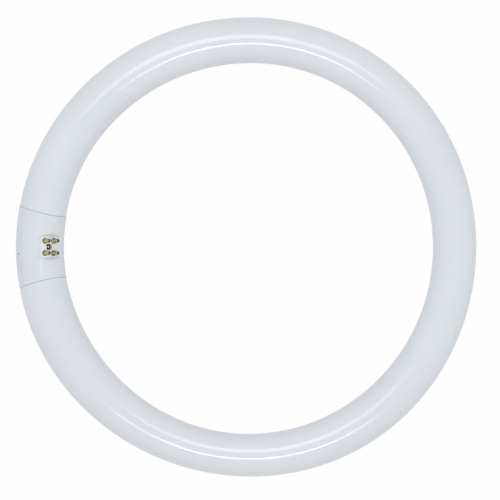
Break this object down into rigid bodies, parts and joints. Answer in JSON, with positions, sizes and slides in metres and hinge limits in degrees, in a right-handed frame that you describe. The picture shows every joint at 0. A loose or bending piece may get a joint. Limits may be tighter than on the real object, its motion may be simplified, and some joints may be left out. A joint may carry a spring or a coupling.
{
  "type": "circular fluorescent tube",
  "caption": "Circular fluorescent tube: a sealed white glass ring lamp whose ends meet in a moulded plastic cap with brass contact pins on a slanted seat.",
  "frame": {"origin": "on the ring's axis, at the surface that the ring lies on", "axes": "+Z along the ring's axis, up, on the pins' side; the cap is at -X; +X across the ring, away from the cap"},
  "size_m": [0.3007, 0.3, 0.0349],
  "materials": {
    "coated_glass": "clear gloss over a white coating",
    "cap_plastic": "satin",
    "pin_brass": "polished",
    "rivet_brass": "polished, slightly dull",
    "lead_metal": "dull plated wire"
  },
  "bodies": {
    "root": {"glass_tube": "coated_glass", "cap_front": "cap_plastic", "cap_back": "cap_plastic", "rivet": "rivet_brass", "contact_pin_1": "pin_brass", "contact_pin_2": "pin_brass", "contact_pin_3": "pin_brass", "contact_pin_4": "pin_brass", "lead_wire_1": "lead_metal", "lead_wire_2": "lead_metal", "lead_wire_3": "lead_metal", "lead_wire_4": "lead_metal"}
  },
  "joints": []
}
